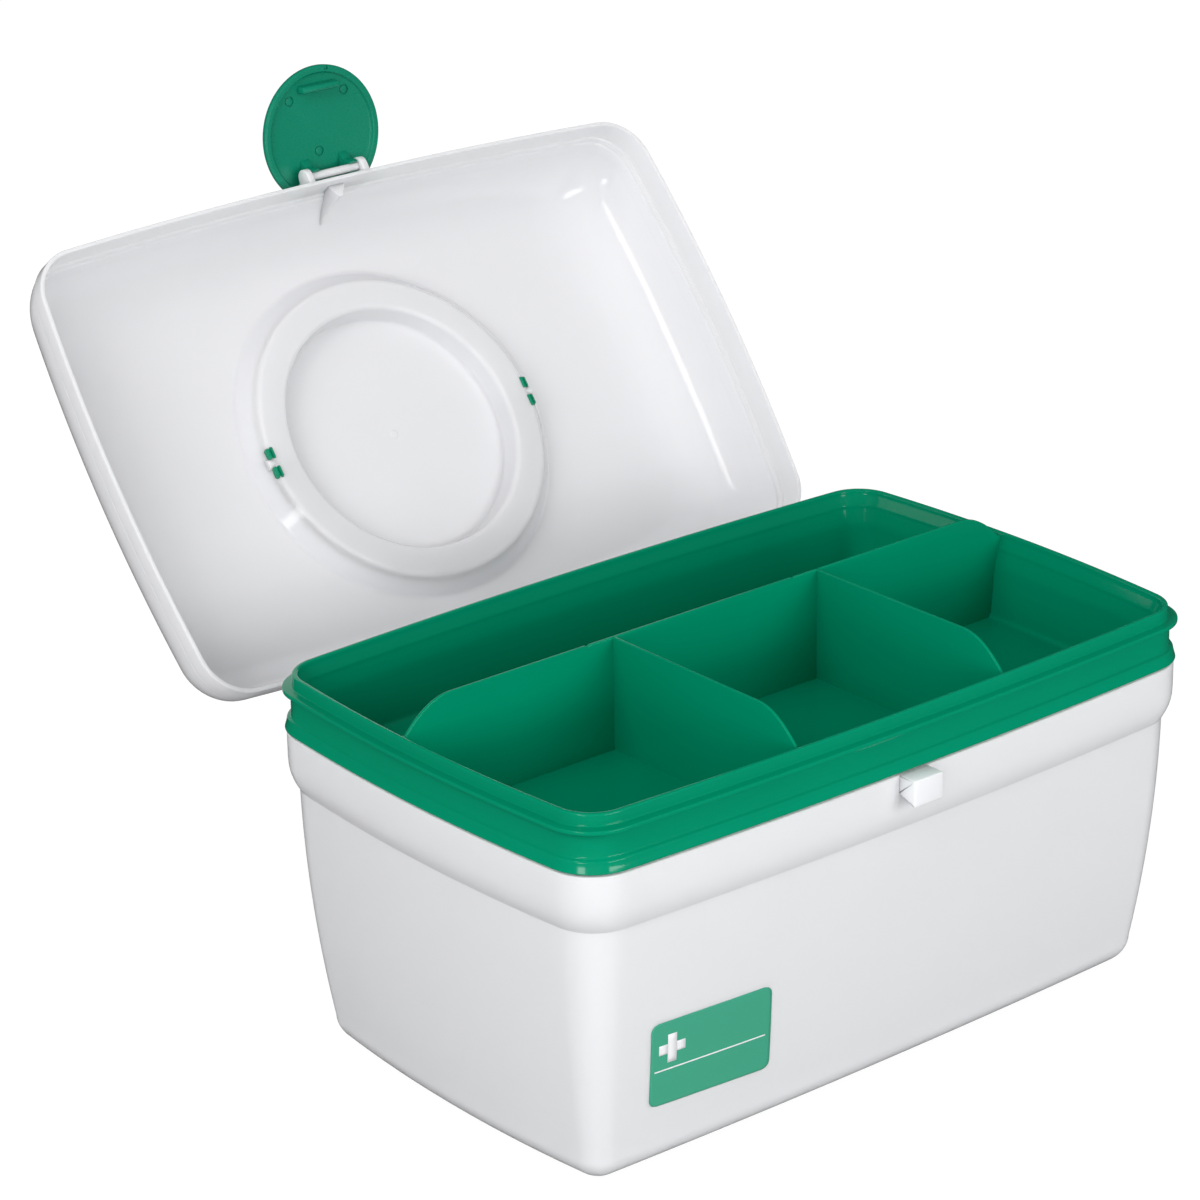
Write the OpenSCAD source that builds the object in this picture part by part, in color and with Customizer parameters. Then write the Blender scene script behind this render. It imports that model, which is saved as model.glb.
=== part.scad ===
// Household medicine storage box, shown open: tub, lift-out tray, hinged lid
// with a fold-away carrying handle and a round snap latch.
// Millimetres. X runs along the front, Y to the back, Z up. The origin is the
// middle of the tub's foot. Offsets are measured outwards from one reference
// outline, which the tub, tray and lid all follow. The lid, latch and handle
// are drawn closed and are then turned to the open pose.

/* [Box outline] */
// Length of the reference outline at mid bow
box_length = 270; // [200:1:340]
// Depth of the reference outline at mid bow
box_depth = 168.2; // [150:0.1:220]
// Bow of the short sides
bow_short = 4.6; // [2:0.1:8]
// Bow of the long sides
bow_long = 4.0; // [2:0.1:7]
// Corner radius of the reference outline
corner_r = 15.2; // [12:0.1:24]
// Wall thickness of the tub and the lid
wall = 1.6; // [1.2:0.1:2.2]
// Gap between nested parts
gap = 0.3; // [0.2:0.05:0.5]

/* [Tub] */
// Height of the ledge that the tray's band stands over
ledge_z = 114.5; // [90:0.5:150]
// How far the tub's top stands outside the outline
tub_out = 1.6; // [1:0.1:2.2]
// Height of the tub's rim above the ledge
rim_h = 13.8; // [8:0.1:13.8]
// Inset of the rim's outer face
rim_in = 1.5; // [1.3:0.1:1.7]
// Thickness of the rim
rim_t = 1.1; // [0.9:0.05:1.2]
// Rounding under the tub
foot_r = 10.4; // [6:0.1:14]
// Thickness of the tub's floor
floor_t = 1.8; // [1.2:0.1:3]
// Inset of the short walls above the foot
inset_x = 8.3; // [3:0.1:12]
// Inset of the long walls above the foot
inset_y = 11.2; // [3:0.1:14]
// Inset of the walls below the shoulder
neck_in = 1.2; // [1:0.1:3]
// Swell of the walls at half height
swell = 1.3; // [0:0.1:2]
// Height from the shoulder's lower end to the ledge
neck_h = 21.5; // [18:0.5:30]
// Height of the shoulder
shoulder_h = 11; // [8:0.5:13]
// Width of the latch catch
catch_w = 12.6; // [8:0.1:16]
// How far the catch stands off the wall
catch_d = 7.0; // [6:0.1:9]
// Height of the catch
catch_h = 9.3; // [8:0.1:12]

/* [Tray] */
// Height of the tray's lip above the ledge
lip_h = 20.1; // [19:0.1:24]
// Depth of the tray from its lip to its underside
tray_depth = 32.1; // [28:0.1:60]
// Thickness of the tray's walls
tray_wall = 1.3; // [1:0.1:1.4]
// Thickness of the tray's floor
tray_floor = 1.5; // [1:0.1:2.5]
// Height of the band over the ledge
band_h = 4.7; // [4:0.1:5.5]
// How far the band stands outside the outline
band_out = 2.0; // [1.6:0.1:2.4]
// Height of the flange's top above the ledge
flange_h = 15.8; // [15.5:0.1:17.5]
// How far the flange stands outside the outline
flange_out = 2.3; // [2:0.1:2.8]
// Height of the dividers above the underside
divider_h = 41.5; // [36:0.5:50]
// Thickness of the dividers
divider_t = 1.2; // [0.9:0.1:2]
// Position of the long divider behind the middle
divider_y = 9.7; // [-20:0.1:30]
// Distance of the cross dividers from the middle
divider_x = 45; // [30:0.5:60]

/* [Lid] */
// Height of the lid from its rim to its top face
lid_h = 37.5; // [34:0.1:50]
// Rounding of the lid's shoulder
lid_r = 31.5; // [18:0.5:31.5]
// How far the lid stands outside the outline
lid_out = 2.0; // [1.8:0.1:2.6]
// Height of the band round the lid's rim
lid_band = 4.3; // [3:0.1:4.6]
// Angle that the lid is opened by in the shown pose
lid_open = 128.13; // [95:0.01:130]
// Distance of the hinge axis behind the outline
hinge_out = 7.72; // [7.5:0.01:10]
// Height of the hinge axis above the ledge
hinge_up = 2.05; // [0:0.01:4]
// Distance of the two hinges from the middle
hinge_x = 70; // [40:1:90]
// Width of the lid's hinge arms
arm_w = 9.2; // [6:0.1:12]
// Radius of the hinge bars and of the handle's bars
bar_r = 1.9; // [1.6:0.05:2.2]
// Radial play of every clip on its bar
clip_play = 0.08; // [0.03:0.01:0.1]
// Mouth of every clip as a share of its bar
clip_mouth = 0.8; // [0.7:0.01:0.9]

/* [Carrying handle] */
// Mean radius of the handle's arc
handle_r = 53.05; // [45:0.05:56]
// Width of the handle's band
handle_w = 9.5; // [7:0.1:11]
// Thickness of the handle's band
handle_t = 6.8; // [5:0.1:7.5]
// Side play of the handle in its groove
groove_play = 0.8; // [0.5:0.05:1.2]
// Distance of the handle's axis behind the middle
groove_y = 1.6; // [-2:0.1:3]
// How far the handle lies below the lid's top face
handle_sink = 0.65; // [0.3:0.05:1.5]
// Thickness of the handle's clips
hook_t = 1.8; // [1.4:0.1:2]
// Outer radius of the handle's clips
hook_r = 6.2; // [5.6:0.1:6.2]

/* [Latch] */
// Radius of the round latch
latch_r = 25.1; // [20:0.1:30]
// Angle that the latch is swung open in the shown pose
latch_open = 58; // [40:1:60]
// Height of the latch axis above the lid's rim
latch_up = 3.2; // [2.8:0.1:4]
// Distance of the disc's middle below the latch axis
latch_drop = 13.1; // [11:0.1:16]
// Radius of the latch's pivot bar
latch_bar = 1.5; // [1.2:0.05:1.6]
// Distance of the latch's clips from the middle
clip_x = 8.4; // [6:0.1:8.8]

/* [Hidden] */
white = [0.89, 0.89, 0.91];
green = [0.0, 0.49, 0.36];
A = box_length/2;
B = box_depth/2;
shoulder_z = ledge_z - neck_h;
rim_z = ledge_z + rim_h;
catch_z = ledge_z - catch_h;
catch_y = B + tub_out + catch_d;
foot_corner = 9;
foot_bow_x = bow_short - 0.3;
foot_bow_y = bow_long - 1.8;
// tray
lip_z = ledge_z + lip_h;
tray_z = lip_z - tray_depth;
tray_top = tray_z + tray_floor;
knee_z = rim_z - 5.5;
lip_in = 2.5;
lip_r = 0.9;
throat_in = 4.1;
knee_in = 5.6;
heel_in = 7.4;
band_z = ledge_z + band_h;
flange_z = ledge_z + flange_h;
divider_z = tray_z + divider_h;
end_w = 18.4;
end_foot = 2.6;
end_z = lip_z - 1.3;
// lid
lid_z = flange_z + gap;
lid_top = lid_z + lid_h;
shoulder_r = min(lid_r, lid_h - lid_band - 1.7);
lid_cz = lid_top - shoulder_r;
hinge_y = B + hinge_out;
hinge_z = ledge_z + hinge_up;
arm_r = bar_r + clip_play + 2.2;
lug_r = bar_r + 2.5;
lug_t = 3;
lug_h = 13;
arm_gap = 0.4;
stop_gap = 0.3;
stop_h = 9.7;
stop_out = 6;
stop_cut = 40;
tub_root = B + tub_out - wall/2 - dip(hinge_x); // middle of the tub's back wall at a hinge
lid_root = B + lid_out - wall/2 - dip(hinge_x); // middle of the lid's back wall at a hinge
top_corner = 11;
top_bow_x = bow_short - 1.6;
top_bow_y = bow_long - 1.6;
keeper_w = 7;
keeper_y = wall + 3.8 - B - lid_out;
keeper_z = lip_z + 0.8;
keeper_a = 32;
keeper_top = lid_cz + (shoulder_r - wall/2)*sin(keeper_a);
// handle and its groove
groove_ri = handle_r - handle_w/2 - groove_play;
groove_ro = handle_r + handle_w/2 + groove_play;
groove_z = lid_top - handle_sink - handle_t - 0.55;
crest_z = groove_z - wall;
pivot_z = crest_z + bar_r;
hook_x = groove_ro - 0.9 - hook_t;
// latch
latch_y = catch_y - 3.1;
latch_z = lid_z + latch_up;
latch_face = latch_y + 4;
latch_cz = latch_z - latch_drop;
latch_clip_r = latch_bar + clip_play + 1.2;
// height of the latch's flat top edge, which meets the lid's wall at full swing
latch_flat = (latch_y - B - lid_out + 0.3 + (latch_face - latch_y)*cos(latch_open))/sin(latch_open);

function mix(a, b, t) = a + (b - a)*t;
function rev(l) = [for (i = [len(l) - 1:-1:0]) l[i]];
function clamp(t) = max(0, min(1, t));
function bulge(t) = 1 - pow(1 - t, 2.2);
function dip(x) = bow_long*pow(x/(A - bow_short), 2); // fall of a long side's bow
function side(y) = bow_short*pow(y/(B - bow_long), 2); // fall of a short side's bow
function arc(cx, cz, r, a0, a1, n) =
  [for (i = [0:n]) let(t = mix(a0, a1, i/n)) [cx + r*cos(t), cz + r*sin(t)]];

// Bowed rounded rectangle: each side is an arc and so is each corner.
function side_r(h, s) = (h*h + s*s)/(2*s);
function corner_c(a, b, sa, sb, r) =
  let(R1 = side_r(a - sa, sb), R2 = side_r(b - sb, sa),
      c1 = [0, b - R1], c2 = [a - R2, 0], d = c2 - c1, D = norm(d),
      x = (pow(R1 - r, 2) - pow(R2 - r, 2) + D*D)/(2*D),
      h = sqrt(pow(R1 - r, 2) - x*x), u = d/D, v = [-u[1], u[0]],
      p = c1 + u*x + v*h, q = c1 + u*x - v*h)
  p[0] + p[1] > q[0] + q[1] ? p : q;
function quarter(a, b, sa, sb, r, nc, nl, ns) =
  let(R1 = side_r(a - sa, sb), R2 = side_r(b - sb, sa),
      c1 = [0, b - R1], c2 = [a - R2, 0], cc = corner_c(a, b, sa, sb, r),
      t2 = atan2(cc[1] - c2[1], cc[0] - c2[0]), t1 = atan2(cc[1] - c1[1], cc[0] - c1[0]))
  concat([for (i = [0:ns - 1]) c2 + R2*[cos(t2*i/ns), sin(t2*i/ns)]],
         [for (i = [0:nc - 1]) let(t = mix(t2, t1, i/nc)) cc + r*[cos(t), sin(t)]],
         [for (i = [0:nl]) let(t = mix(t1, 90, i/nl)) c1 + R1*[cos(t), sin(t)]]);
function outline(a, b, sa, sb, r, nc = 8, nl = 5, ns = 3) =
  let(q = quarter(a, b, sa, sb, r, nc, nl, ns), n = len(q),
      up = concat(q, [for (i = [n - 2:-1:0]) [-q[i][0], q[i][1]]]), m = len(up))
  concat(up, [for (i = [m - 2:-1:1]) [up[i][0], -up[i][1]]]);

// A skin through a list of rings, closed by its first and last ring. A ring is
// [z, x offset, y offset, corner radius, short bow, long bow].
module loft(rings, flip = false) {
  pts = [for (g = rings) for (p = outline(A + g[1], B + g[2], g[4], g[5], g[3])) [p[0], p[1], g[0]]];
  m = len(rings);
  n = len(pts)/m;
  skin = [for (j = [0:m - 2], i = [0:n - 1]) let(k = (i + 1)%n, a = j*n, b = a + n)
    each [[a + i, b + i, b + k], [a + i, b + k, a + k]]];
  faces = concat([[for (i = [0:n - 1]) i]], [[for (i = [n - 1:-1:0]) (m - 1)*n + i]], skin);
  polyhedron(pts, flip ? [for (f = faces) [for (i = [len(f) - 1:-1:0]) f[i]]] : faces, convexity = 8);
}
function even(z, o) = [z, o, o, corner_r + o, bow_short, bow_long]; // ring at one offset

// A plate cut from an outline drawn in Y and Z, thick along X.
module yz(x0, x1, pts)
  translate([x0, 0, 0]) rotate([90, 0, 90]) linear_extrude(x1 - x0) polygon(pts);
module xcyl(x0, x1, y, z, r)
  translate([x0, y, z]) rotate([0, 90, 0]) cylinder(r = r, h = x1 - x0, $fn = 48);
module about(y, z, a) translate([0, y, z]) rotate([a, 0, 0]) translate([0, -y, -z]) children();
module both() for (s = [0, 1]) mirror([s, 0, 0]) children();
module opened_lid() about(hinge_y, hinge_z, -lid_open) children();
module opened_latch() opened_lid() about(-latch_y, latch_z, -latch_open) children();

// White tub: tapered wall with a rounded foot, a shoulder, a ledge and a rim.
function tub_ring(z, o) =
  let(t = clamp((z - foot_r)/(shoulder_z - foot_r)), e = bulge(clamp((z - shoulder_z)/shoulder_h)),
      out = (neck_in + tub_out)*e + 4*swell*t*(1 - t) - o)
  [z, mix(-inset_x, -neck_in, t) + out, mix(-inset_y, -neck_in, t) + out,
   mix(foot_corner, corner_r + 0.3, t) + 1.3*e - 0.8*o,
   mix(foot_bow_x, bow_short, t), mix(foot_bow_y, bow_long, t)];
function foot_ring(r, o, k) = // rounding under the wall, k degrees down
  let(d = r*(1 - cos(k)))
  [foot_r - r*sin(k), -inset_x - o - d, -inset_y - o - d, max(1.2, foot_corner - 0.8*(o + d)),
   foot_bow_x, foot_bow_y];
function tub_levels(drop) = concat(
  [for (i = [0:4]) mix(foot_r, shoulder_z, i/5)],
  [for (i = [0:5]) shoulder_z - drop + shoulder_h*pow(i/5, 1.4)]);
tub_rings = concat(
  [for (k = [90:-18:18]) foot_ring(foot_r, 0, k)],
  [for (z = tub_levels(0)) tub_ring(z, 0)],
  [even(ledge_z, tub_out), even(ledge_z, -rim_in),
   even(rim_z - 0.5, -rim_in), even(rim_z, -rim_in - 0.35),
   even(rim_z, -rim_in - rim_t + 0.35), even(rim_z - 0.5, -rim_in - rim_t),
   even(ledge_z - wall, -rim_in - rim_t), even(ledge_z - wall, tub_out - wall)],
  [for (z = rev(tub_levels(0.5))) tub_ring(z, wall)],
  [for (k = [18:18:90]) foot_ring(foot_r - floor_t, wall, k)]);

module lug(x) {
  yz(x, x + lug_t, [
    [tub_root, ledge_z - lug_h], [hinge_y - 4.5, ledge_z - lug_h], [hinge_y + 3.9, hinge_z - 6],
    [hinge_y + lug_r, hinge_z], [hinge_y - lug_r, hinge_z],
    [hinge_y - lug_r - 0.4, ledge_z - gap], [tub_root, ledge_z - gap]]);
  xcyl(x, x + lug_t, hinge_y, hinge_z, lug_r);
}
// Wedge between two lugs. Its face lies along the back of the open lid's arm.
module stop(x0, x1) difference() {
  yz(x0, x1, [
    [tub_root, ledge_z - lug_h], [tub_root, ledge_z - gap], [hinge_y + stop_out, ledge_z - gap],
    [hinge_y + stop_out, ledge_z - stop_h], [hinge_y - 3, ledge_z - lug_h]]);
  opened_lid() translate([x0 - 1, hinge_y + arm_r + stop_gap - stop_cut, hinge_z - stop_cut])
    cube([x1 - x0 + 2, stop_cut, 2*stop_cut]);
}
module tub() color(white) {
  loft(tub_rings);
  // catch under the round latch
  yz(-catch_w/2, catch_w/2, [
    [-B - tub_out + wall/2, ledge_z], [-catch_y, ledge_z], [-catch_y, catch_z],
    [-B - tub_out, catch_z + 2.6], [-B - tub_out + wall/2, catch_z + 2.6]]);
  both() {
    lug(hinge_x - arm_w/2 - arm_gap - lug_t);
    lug(hinge_x + arm_w/2 + arm_gap);
    xcyl(hinge_x - arm_w/2 - 2, hinge_x + arm_w/2 + 2, hinge_y, hinge_z, bar_r);
    stop(hinge_x - arm_w/2 - 1, hinge_x + arm_w/2 + 1);
  }
}

// Green lift-out tray: lip, flange, groove and band around one basin with
// moulded dividers. The channel under its lip sits over the tub's rim.
tray_profile = concat(
  arc(-heel_in - 2.2, tray_z + 3, 3, 270, 350, 4),
  [[tray_wall - knee_in, knee_z],
   [-rim_in - rim_t - gap, rim_z + gap], [gap - rim_in, rim_z + gap], [gap - rim_in, ledge_z + gap],
   [band_out - 0.65, ledge_z + gap], [band_out - 0.2, ledge_z + 0.9],
   [band_out, band_z - 0.8], [band_out - 0.3, band_z], [0.35, band_z + 0.7], [0, band_z + 1.7],
   [0, flange_z - 3.1], [0.4, flange_z - 2.1], [flange_out - 0.4, flange_z - 1.7],
   [flange_out, flange_z - 1.2], [flange_out, flange_z - 0.5], [flange_out - 0.3, flange_z - 0.1],
   [-0.3, flange_z], [-0.7, flange_z + 0.6]],
  arc(lip_r - lip_in, lip_z - lip_r, lip_r, 0, 170, 6),
  [[-lip_in - 0.2, lip_z - 1.6], [-throat_in, rim_z + 0.9],
   [-throat_in - 0.1, rim_z - 0.1], [-knee_in, knee_z]],
  arc(-heel_in - 3.2, tray_top + 3.2, 3.2, -6, -90, 4));
// Edge of a divider towards the wall that lies e from the middle: a rounded
// end, a short foot at the lip, then the part inside the wall.
function divider_edge(e) = concat(
  [for (i = [0:9]) let(u = i/9) [e - lip_in - end_foot - end_w*(1 - u), mix(divider_z, end_z, u*u)]],
  [[e - lip_in + lip_r, end_z], [e - knee_in + 0.8, knee_z],
   [e - heel_in + 0.7, tray_top + 3.2], [e - heel_in - 1.8, tray_z + tray_floor/2]]);
module tray() color(green) {
  loft([for (p = tray_profile) even(p[1], p[0])]);
  long = divider_edge(A - side(divider_y));
  translate([0, divider_y + divider_t/2, 0]) rotate([90, 0, 0]) linear_extrude(divider_t)
    polygon(concat(long, [for (p = rev(long)) [-p[0], p[1]]]));
  cross = divider_edge(B - dip(divider_x));
  both() yz(divider_x - divider_t/2, divider_x + divider_t/2, concat(
    [[divider_y, tray_z + tray_floor/2], [divider_y, divider_z]], [for (p = cross) [-p[0], p[1]]]));
}

// White lid: bowed shell, handle groove with two bars, latch ears, hinge arms.
function crown(r, o, k) = // rounding of the lid's shoulder, k degrees up
  let(d = r*(1 - cos(k)), t = d/r)
  [lid_cz + r*sin(k), o - d, o - d, mix(corner_r + o, top_corner, t),
   mix(bow_short, top_bow_x, t), mix(bow_long, top_bow_y, t)];
lid_rings = concat(
  [for (k = [90:-10:0]) crown(shoulder_r, lid_out, k)],
  [even(lid_z + lid_band + 0.4, lid_out), even(lid_z + lid_band, lid_out + 0.5),
   even(lid_z + 0.3, lid_out + 0.5), even(lid_z, lid_out + 0.2),
   even(lid_z, lid_out + 0.7 - wall), even(lid_z + 0.3, lid_out + 0.5 - wall),
   even(lid_z + lid_band + 0.4, lid_out - wall)],
  [for (k = [0:10:90]) crown(shoulder_r - wall, lid_out - wall, k)]);
module spin(pts) translate([0, groove_y, 0]) rotate_extrude($fn = 180) polygon(pts);
module lid_shell() {
  slot = hook_r + 0.3;
  difference() {
    union() {
      loft(lid_rings, flip = true);
      spin(concat(
        [[groove_ri - wall - 0.4, lid_top - 1.2], [groove_ri - wall + 0.4, crest_z + 0.8],
         [groove_ri - wall + 1.2, crest_z]],
        arc(groove_ro - 2, crest_z + 2 + wall, 2 + wall, 270, 360, 6),
        [[groove_ro + wall, lid_top - 1.2]]));
    }
    spin(concat(
      [[groove_ri - 0.6, lid_top + 1], [groove_ri, lid_top - 0.6], [groove_ri, groove_z + 0.6],
       [groove_ri + 0.6, groove_z]],
      arc(groove_ro - 2, groove_z + 2, 2, 270, 360, 6),
      [[groove_ro, lid_top - 0.6], [groove_ro + 0.6, lid_top + 1]]));
    // windows that the handle's clips turn in, up the groove's outer wall
    both() {
      window = slot - bar_r;
      for (t = [-1, 1]) translate([hook_x - 0.4, groove_y + (t*(slot + bar_r) - window)/2, crest_z - 1])
        cube([groove_ro + wall - hook_x + 1.4, window, 4.8]);
      translate([hook_x - 0.4, groove_y - bar_r - 0.1, crest_z - 1])
        cube([groove_ro - hook_x + 0.1, 2*bar_r + 0.2, 4.8]);
    }
  }
  // bars that the clips sit on
  both() xcyl(hook_x - 1.2, groove_ro + wall/2, groove_y, pivot_z, bar_r);
}
module ear(x0, x1) {
  yz(x0, x1, [
    [wall/2 - B - lid_out, latch_z - 2.9], [-latch_y, latch_z - 3.2],
    [-latch_y, latch_z + 3.2], [wall/2 - B - lid_out, latch_z + 7.5]]);
  xcyl(x0, x1, -latch_y, latch_z, 3.2);
}
// Wedge inside the front wall that keeps the tray down while the lid is shut.
module keeper() intersection() {
  yz(-keeper_w, keeper_w, concat(
    [[keeper_y, keeper_z], [wall/2 - B - lid_out, keeper_z]],
    arc(shoulder_r - B - lid_out, lid_cz, shoulder_r - wall/2, 180, 180 - keeper_a, 5)));
  translate([0, keeper_y + 2, 0]) rotate([90, 0, 0]) linear_extrude(8) polygon([
    [-keeper_w/2, keeper_z], [keeper_w/2, keeper_z], [0.4, keeper_top], [-0.4, keeper_top]]);
}
module arm(x0, x1) difference() {
  union() {
    yz(x0, x1, [
      [lid_root, lid_z + 0.9], [hinge_y - 1.6, lid_z + 0.9], [hinge_y + 0.3, lid_z - 1],
      [hinge_y + 0.3, hinge_z], [hinge_y + arm_r, hinge_z], [hinge_y + arm_r, lid_z + 3.5],
      [hinge_y + 2.2, lid_z + 7], [hinge_y - 2.4, lid_z + 10.5], [lid_root, lid_z + 12.6]]);
    xcyl(x0, x1, hinge_y, hinge_z, arm_r);
  }
  clip(x0, x1, hinge_y, hinge_z, bar_r, -90);
}
// Bore of a clip on a round bar, with its mouth turned a degrees from below.
module clip(x0, x1, y, z, r, a) translate([0, y, z]) rotate([a, 0, 0]) {
  xcyl(x0 - 1, x1 + 1, 0, 0, r + clip_play);
  translate([x0 - 1, -clip_mouth*r, -r - 6]) cube([x1 - x0 + 2, 2*clip_mouth*r, r + 6]);
}
module lid_closed() {
  lid_shell();
  keeper();
  both() {
    ear(clip_x + 2.3, clip_x + 4.9);
    arm(hinge_x - arm_w/2, hinge_x + arm_w/2);
  }
  xcyl(-clip_x - 3, clip_x + 3, -latch_y, latch_z, latch_bar);
}
module lid() color(white) opened_lid() lid_closed();

// Green round latch: shallow dish, snap rib and two clips on the lid's bar.
module dish() translate([0, -latch_face, latch_cz]) rotate([90, 0, 0]) difference() {
  rotate_extrude($fn = 96) polygon([
    [0, 1.2], [latch_r - 5.1, 1.2], [latch_r - 3.9, 0], [latch_r - 0.5, 0], [latch_r, 0.5],
    [latch_r, 1.6], [latch_r - 0.7, 2.6], [latch_r - 2.4, 3.3], [latch_r - 9, 3.7], [0, 3.9]]);
  // marks of the mould's ejector pins
  for (p = [[-12.2, -14.1], [11.9, -14.3], [-1.5, 5.7]]) translate([p[0], p[1], 0.9])
    cylinder(r = 1.6, h = 0.6, $fn = 24);
}
module latch_closed() difference() {
  union() {
    difference() {
      dish();
      translate([-latch_r - 1, -latch_face - 6, latch_z + latch_flat])
        cube([2*latch_r + 2, 8, latch_r]);
    }
    // rib that snaps under the catch
    yz(-8, 8, [
      [-latch_face - 2, catch_z - 0.6], [1.9 - latch_face, catch_z - 0.6],
      [2.7 - latch_face, catch_z - 1.5], [2.2 - latch_face, catch_z - 3],
      [-latch_face - 2, catch_z - 3.4]]);
    both() {
      yz(clip_x - 1.7, clip_x + 1.7, [
        [-latch_face - 2, latch_z - 5.5], [1.2 - latch_face, latch_z - 3.6],
        [-latch_y, latch_z - latch_clip_r], [-latch_y, latch_z + latch_clip_r],
        [-latch_face - 2, latch_z + 4]]);
      xcyl(clip_x - 1.7, clip_x + 1.7, -latch_y, latch_z, latch_clip_r);
    }
  }
  clip(-12, 12, -latch_y, latch_z, latch_bar, 90);
}
module latch() color(green) opened_latch() latch_closed();

// Green half-round handle lying in the rear half of the groove. Its clips hold
// the groove's bars from both sides and its end faces stop it when it stands.
module handle_closed() {
  ri = handle_r - handle_w/2;
  ro = handle_r + handle_w/2;
  top = lid_top - handle_sink;
  difference() {
    union() {
      translate([0, groove_y, top - handle_t]) rotate_extrude(angle = 180, $fn = 180) polygon([
        [ri, 1], [ri + 1, 0], [ro - 1.5, 0], [ro, 1.5],
        [ro, handle_t - 1.5], [ro - 1.5, handle_t], [ri + 1, handle_t], [ri, handle_t - 1]]);
      both() {
        xcyl(hook_x, hook_x + hook_t/2, groove_y, pivot_z, hook_r);
        xcyl(hook_x, hook_x + hook_t, groove_y, pivot_z, hook_r - 0.5);
      }
    }
    both() clip(hook_x - handle_w, hook_x + hook_t, groove_y, pivot_z, bar_r, 0);
    // flat underside of the clips
    translate([-ro - 2, groove_y - hook_r - 1, pivot_z - hook_r - 1])
      cube([2*ro + 4, 2*hook_r + 2, hook_r + 1 - bar_r - 0.9]);
  }
}
module handle() color(green) opened_lid() handle_closed();

tub();
tray();
lid();
latch();
handle();
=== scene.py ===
"""Looks of the household medicine storage box: milky polypropylene shells, green
tray, latch and handle, a printed sticker, soft studio light and the camera.

Shapes are worked out in millimetres, with the lid, latch and handle closed, and
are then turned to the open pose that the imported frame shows.
"""

import math

import bpy
import numpy as np
from mathutils import Matrix, Vector


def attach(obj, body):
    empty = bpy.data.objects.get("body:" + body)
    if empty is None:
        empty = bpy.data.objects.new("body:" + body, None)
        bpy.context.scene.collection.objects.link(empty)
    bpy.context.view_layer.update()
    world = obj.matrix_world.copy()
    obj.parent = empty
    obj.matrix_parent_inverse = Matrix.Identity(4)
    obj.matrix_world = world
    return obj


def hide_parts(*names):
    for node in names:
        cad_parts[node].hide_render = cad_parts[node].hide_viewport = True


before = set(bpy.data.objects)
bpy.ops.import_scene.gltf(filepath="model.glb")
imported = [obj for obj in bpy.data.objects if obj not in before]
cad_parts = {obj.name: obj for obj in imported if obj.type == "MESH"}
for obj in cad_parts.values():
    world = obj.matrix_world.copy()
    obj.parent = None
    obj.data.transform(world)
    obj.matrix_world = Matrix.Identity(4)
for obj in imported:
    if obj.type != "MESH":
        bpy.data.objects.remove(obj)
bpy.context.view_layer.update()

# Reference outline that the tub, tray and lid are offset from, and the points along
# half a short side, a corner and half a long side
HALF_X = 135.0
HALF_Y = 84.1
BOW_SHORT = 4.6
BOW_LONG = 4.0
CORNER = 15.2
OUTLINE_POINTS = (16, 14, 30)
WALL = 1.6
GAP = 0.3
NAME = {-1: "left", 1: "right"}
MM = 0.001
TINY = 1e-9

# Tub: heights, insets of its wall, and corner radii
LEDGE_Z = 114.5
RIM_Z = 128.3
RIM_OFFSET = (-1.5, -2.6)
FOOT_R = 10.4
FOOT_CORNER = 9.0
FOOT_BOW = (4.3, 2.2)
SHOULDER_Z = 94.0
SHOULDER_H = 11.0
SHOULDER_CORNER = CORNER + 0.3
STEP_CORNER = 1.3
INSET_CORNER = 0.8
LEAST_CORNER = 1.2
TUB_OUT = 1.6
INSET = (8.3, 11.2)
NECK_IN = 1.2
SWELL = 1.3
FLOOR_T = 1.8

# Catch on the tub's front: heights of its nose, root and top, its reach and half its width
CATCH_Z = (105.2, 107.8, 114.4)
CATCH_REACH = 7
CATCH_HALF = 6.3

# Tray
TRAY_Z = 102.5
TRAY_TOP = 104.0
KNEE_Z = 122.8
FLANGE_Z = 130.3
LIP_Z = 134.6
LIP_IN = 2.5
DIVIDER_FOOT = TRAY_Z + 0.75
DIVIDER_Z = 144.0
DIVIDER_Y = 9.7
DIVIDER_X = 45.0
DIVIDER_T = 1.2
NICK_DEPTH = 0.45
NICK_SHIFT = 11
END_FOOT = 1.5
END_W = 18.4
END_Z = LIP_Z - 0.9

# Lid, closed. Each of its two inner steps lies between a pair of heights in STEP_Z
LID_Z = 130.6
LID_TOP = 168.1
LID_CZ = 136.6
SHOULDER_R = 31.5
LID_OUT = 2.0
LID_IN = 0.1
LID_RIM_IN = 2.3
LID_RIM_OUT = 2.6
TOP_CORNER = 11.0
TOP_BOW = (3.0, 2.4)
NEAR_TOP = 1.7
CREST_Z = 158.5
STEP_OUT = 0.55
STEP_Z = ((142.9, 142.5), (140.7, 140.3))

# Groove for the handle, with radii about the middle (0, RING_Y), and its windows
RING_Y = 1.6
GROOVE_R = (47.5, 58.6)
GROOVE_LIP = 2.7
GROOVE_Z = 160.1
WINDOW_X = (55.4, 63.6)
WINDOW_Y = 6.5
WINDOW_Z = (164.6, 157.5)
WINDOW_CORNER = 2.2
SLOT_X = 58.7
SLOT_Y = 2.0
SHARP = 0.1

# Joint axes, closed, in Y and Z, and the bars that the clips hold
HINGE = (91.82, 116.55)
HINGE_X = 70.0
LID_OPEN = 128.13
LATCH_AXIS = (-89.6, 133.8)
LATCH_OPEN = 58.0
PIVOT_Z = 160.4
BAR_R = 1.9
LATCH_BAR_R = 1.5
PLAY = 0.08
MOUTH = 0.8

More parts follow.
